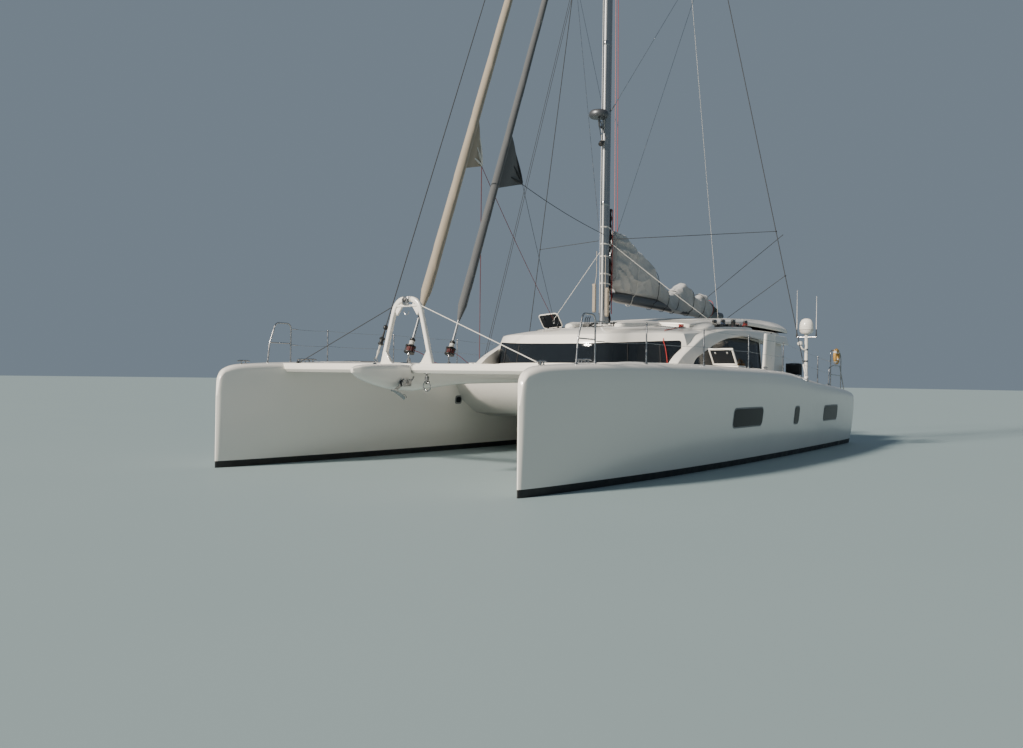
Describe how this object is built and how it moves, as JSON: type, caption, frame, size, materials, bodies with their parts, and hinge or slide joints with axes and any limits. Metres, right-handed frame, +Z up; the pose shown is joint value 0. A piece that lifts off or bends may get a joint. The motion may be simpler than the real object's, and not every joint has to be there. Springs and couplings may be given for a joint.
{
  "type": "sailing catamaran",
  "caption": "Cruising sailing catamaran afloat with sails furled: slim plumb-bow hulls, arched coachroof, hardtop, mast, boom, boards and rudders.",
  "frame": {"origin": "on the waterline, amidships on the boat's centreline", "axes": "+X forward to the bows, +Y to port, +Z up the mast"},
  "size_m": [15.05, 7.488, 21.6611],
  "materials": {
    "gelcoat": "gloss white gelcoat, non-slip panels on the decks",
    "glass": "dark tinted glazing",
    "hatch_glass": "smoked acrylic in a pale frame",
    "alloy": "grey satin paint and anodised alloy",
    "stainless": "polished stainless tube and wire",
    "net": "woven net",
    "rolled_sail": "sun strip cloth, rolled",
    "canvas": "grey sail cover",
    "black_fitting": "black anodised and moulded",
    "upholstery": "dark cushions",
    "wood_trim": "satin veneer",
    "buoy_orange": "faded orange-yellow",
    "foil_paint": "white painted laminate",
    "bronze": "dull bronze"
  },
  "bodies": {
    "platform": {"aft_bulkhead": "gelcoat", "anchor": "stainless", "bridgedeck": "gelcoat", "centre_spine": "gelcoat", "coachroof": "gelcoat", "cockpit_bench": "upholstery", "cockpit_table": "wood_trim", "forward_crossbeam": "gelcoat", "galley_unit": "wood_trim", "genoa_drum": "black_fitting", "genoa_furled": "rolled_sail", "gooseneck_bracket": "alloy", "hardtop": "gelcoat", "hatch_rim_port": "gelcoat", "hatch_rim_starboard": "gelcoat", "helm_pedestal_port": "gelcoat", "helm_pedestal_starboard": "gelcoat", "helm_seat_port": "upholstery", "helm_seat_starboard": "upholstery", "hull_port": "gelcoat", "hull_starboard": "gelcoat", "instrument_pole": "gelcoat", "mast": "alloy", "pulpit_port": "stainless", "pulpit_starboard": "stainless", "pushpit_port": "stainless", "pushpit_starboard": "stainless", "rails_port": "stainless", "rails_starboard": "stainless", "rescue_buoy": "buoy_orange", "saildrive_port": "alloy", "saildrive_starboard": "alloy", "saloon_settee": "upholstery", "saloon_table": "wood_trim", "shroud_port": "stainless", "shroud_starboard": "stainless", "sprit_stay": "stainless", "staysail_drum": "black_fitting", "staysail_furled": "rolled_sail", "striker_arch": "gelcoat", "trampoline_port": "net", "trampoline_starboard": "net", "winches_port": "black_fitting", "winches_starboard": "black_fitting", "window_arch_port": "glass", "window_arch_starboard": "glass", "window_front": "glass"},
    "boom_rig": {"boom": "alloy", "mainsail_stack": "canvas"},
    "rudder_port": {"rudder_port": "foil_paint"},
    "rudder_starboard": {"rudder_starboard": "foil_paint"},
    "wheel_port": {"helm_wheel_port": "stainless"},
    "wheel_starboard": {"helm_wheel_starboard": "stainless"},
    "propeller_port": {"propeller_port": "bronze"},
    "propeller_starboard": {"propeller_starboard": "bronze"},
    "daggerboard_port": {"daggerboard_port": "foil_paint"},
    "daggerboard_starboard": {"daggerboard_starboard": "foil_paint"},
    "hatch_lid_port": {"hatch_lid_port": "hatch_glass"},
    "hatch_lid_starboard": {"hatch_lid_starboard": "hatch_glass"},
    "saloon_door": {"saloon_door": "alloy"}
  },
  "joints": [
    {"name": "boom_swing", "type": "hinge", "parent": "platform", "child": "boom_rig", "pos_m": [-0.56, 0, 3.4], "axis": [0, 0, 1], "range_deg": [-33, 33]},
    {"name": "rudder_port_turn", "type": "hinge", "parent": "platform", "child": "rudder_port", "pos_m": [-6.85, 3, 0], "axis": [0, 0, 1], "range_deg": [-35, 35]},
    {"name": "wheel_port_turn", "type": "hinge", "parent": "platform", "child": "wheel_port", "pos_m": [-4.17, 1.76, 1.95], "axis": [1, 0, 0], "range_deg": [-280, 280]},
    {"name": "propeller_port_spin", "type": "hinge", "parent": "platform", "child": "propeller_port", "pos_m": [-5.46, 3, -0.86], "axis": [1, 0, 0], "continuous": true},
    {"name": "daggerboard_port_slide", "type": "slide", "parent": "platform", "child": "daggerboard_port", "axis": [-0.1392, 0, 0.9903], "range_m": [-0.72, 0.85]},
    {"name": "hatch_port_lid", "type": "hinge", "parent": "platform", "child": "hatch_lid_port", "pos_m": [0.22, 3, 1.87525], "axis": [0, 1, 0], "range_deg": [-132, 3]},
    {"name": "rudder_starboard_turn", "type": "hinge", "parent": "platform", "child": "rudder_starboard", "pos_m": [-6.85, -3, 0], "axis": [0, 0, 1], "range_deg": [-35, 35]},
    {"name": "wheel_starboard_turn", "type": "hinge", "parent": "platform", "child": "wheel_starboard", "pos_m": [-4.17, -1.76, 1.95], "axis": [1, 0, 0], "range_deg": [-280, 280]},
    {"name": "propeller_starboard_spin", "type": "hinge", "parent": "platform", "child": "propeller_starboard", "pos_m": [-5.46, -3, -0.86], "axis": [1, 0, 0], "continuous": true},
    {"name": "daggerboard_starboard_slide", "type": "slide", "parent": "platform", "child": "daggerboard_starboard", "axis": [-0.1392, 0, 0.9903], "range_m": [-0.72, 0.85]},
    {"name": "hatch_starboard_lid", "type": "hinge", "parent": "platform", "child": "hatch_lid_starboard", "pos_m": [0.22, -3, 1.87525], "axis": [0, 1, 0], "range_deg": [0, 135]},
    {"name": "saloon_door_slide", "type": "slide", "parent": "platform", "child": "saloon_door", "axis": [0, 1, 0], "range_m": [0, 0.98]}
  ],
  "couplings": [
    {"joint": "rudder_starboard_turn", "follows": "rudder_port_turn", "ratio": 1},
    {"joint": "wheel_port_turn", "follows": "rudder_port_turn", "ratio": 8},
    {"joint": "wheel_starboard_turn", "follows": "rudder_port_turn", "ratio": 8}
  ]
}
